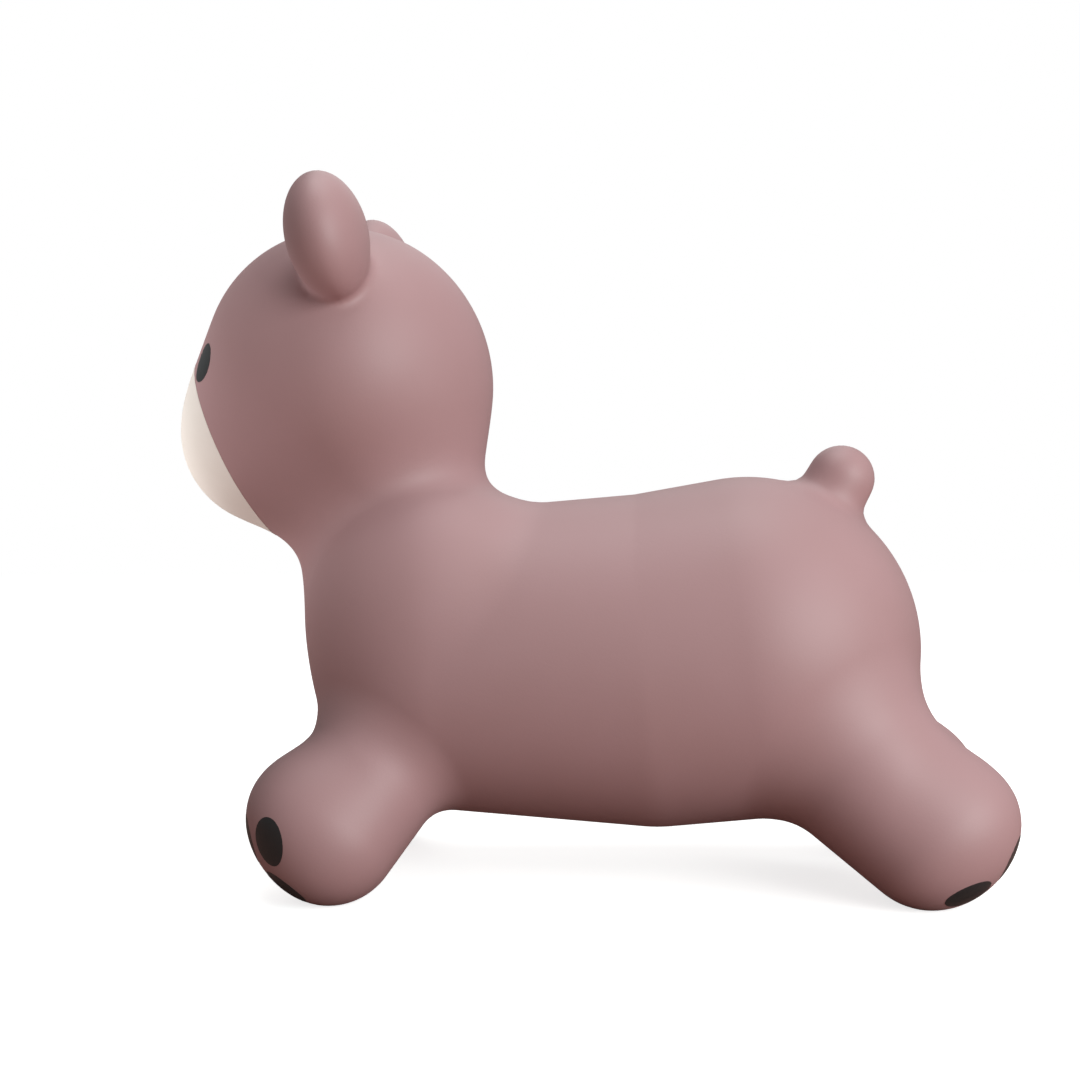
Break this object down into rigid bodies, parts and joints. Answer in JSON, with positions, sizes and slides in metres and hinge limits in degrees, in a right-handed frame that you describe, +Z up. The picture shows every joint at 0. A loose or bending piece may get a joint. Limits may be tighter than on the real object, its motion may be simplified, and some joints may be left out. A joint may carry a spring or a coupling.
{
  "type": "animal hopper",
  "caption": "Air-filled bear that a child sits on and bounces: soft hollow skin on stub legs, with paddle ears as handles, a painted face and claws, and a push-in air valve.",
  "frame": {"origin": "on the floor, under the middle of the bear's box", "axes": "+X from nose to rump, +Y to the bear's right side, +Z up"},
  "size_m": [0.5967, 0.282, 0.4998],
  "materials": {
    "skin_vinyl": "matte moulded soft vinyl",
    "cream_paint": "satin sprayed vinyl paint",
    "black_paint": "satin sprayed vinyl paint",
    "valve_plastic": "moulded"
  },
  "bodies": {
    "trunk": {"torso": "skin_vinyl", "valve_seat": "valve_plastic", "neck": "skin_vinyl", "left_front_hip": "skin_vinyl", "right_front_hip": "skin_vinyl", "left_rear_hip": "skin_vinyl", "right_rear_hip": "skin_vinyl", "tail_root": "skin_vinyl"},
    "head": {"head": "skin_vinyl", "left_ear_root": "skin_vinyl", "right_ear_root": "skin_vinyl", "muzzle_paint": "cream_paint", "nose_paint": "black_paint", "left_eye_paint": "black_paint", "right_eye_paint": "black_paint"},
    "left_ear": {"left_ear": "skin_vinyl"},
    "right_ear": {"right_ear": "skin_vinyl"},
    "left_front_leg": {"left_front_leg": "skin_vinyl", "left_front_outer_claw": "black_paint", "left_front_middle_claw": "black_paint", "left_front_lower_claw": "black_paint"},
    "left_rear_leg": {"left_rear_leg": "skin_vinyl", "left_rear_outer_claw": "black_paint", "left_rear_middle_claw": "black_paint", "left_rear_inner_claw": "black_paint"},
    "right_front_leg": {"right_front_leg": "skin_vinyl", "right_front_outer_claw": "black_paint", "right_front_middle_claw": "black_paint", "right_front_lower_claw": "black_paint"},
    "right_rear_leg": {"right_rear_leg": "skin_vinyl", "right_rear_outer_claw": "black_paint", "right_rear_middle_claw": "black_paint", "right_rear_inner_claw": "black_paint"},
    "tail": {"tail": "skin_vinyl"},
    "valve_plug": {"valve_plug": "valve_plastic"}
  },
  "joints": [
    {"name": "head_nod", "type": "hinge", "parent": "trunk", "child": "head", "pos_m": [-0.136, 0, 0.2675], "axis": [0, 1, 0], "range_deg": [-8, 8], "stiffness_Nm_per_rad": 15, "deforming": ["neck"]},
    {"name": "left_ear_bend", "type": "hinge", "parent": "head", "child": "left_ear", "pos_m": [-0.16728, -0.09067, 0.45096], "axis": [0, 0.6496, 0.7603], "range_deg": [-20, 20], "stiffness_Nm_per_rad": 2, "deforming": ["left_ear_root"]},
    {"name": "right_ear_bend", "type": "hinge", "parent": "head", "child": "right_ear", "pos_m": [-0.16728, 0.09067, 0.45096], "axis": [0, 0.6496, -0.7603], "range_deg": [-20, 20], "stiffness_Nm_per_rad": 2, "deforming": ["right_ear_root"]},
    {"name": "left_front_leg_splay", "type": "hinge", "parent": "trunk", "child": "left_front_leg", "pos_m": [-0.15946, -0.07469, 0.06417], "axis": [0, 1, 0], "range_deg": [-8, 8], "stiffness_Nm_per_rad": 25, "deforming": ["left_front_hip"]},
    {"name": "left_rear_leg_splay", "type": "hinge", "parent": "trunk", "child": "left_rear_leg", "pos_m": [0.21572, -0.06574, 0.07063], "axis": [0, -1, 0], "range_deg": [-8, 8], "stiffness_Nm_per_rad": 25, "deforming": ["left_rear_hip"]},
    {"name": "right_front_leg_splay", "type": "hinge", "parent": "trunk", "child": "right_front_leg", "pos_m": [-0.15946, 0.07469, 0.06417], "axis": [0, 1, 0], "range_deg": [-8, 8], "stiffness_Nm_per_rad": 25, "deforming": ["right_front_hip"]},
    {"name": "right_rear_leg_splay", "type": "hinge", "parent": "trunk", "child": "right_rear_leg", "pos_m": [0.21572, 0.06574, 0.07063], "axis": [0, -1, 0], "range_deg": [-8, 8], "stiffness_Nm_per_rad": 25, "deforming": ["right_rear_hip"]},
    {"name": "tail_wag", "type": "hinge", "parent": "trunk", "child": "tail", "pos_m": [0.18425, 0, 0.28417], "axis": [-0.8735, 0, 0.4869], "range_deg": [-15, 15], "stiffness_Nm_per_rad": 0.5, "deforming": ["tail_root"]},
    {"name": "valve_plug_pull", "type": "slide", "parent": "trunk", "child": "valve_plug", "axis": [0, 0, -1], "range_m": [0, 0.02]}
  ]
}
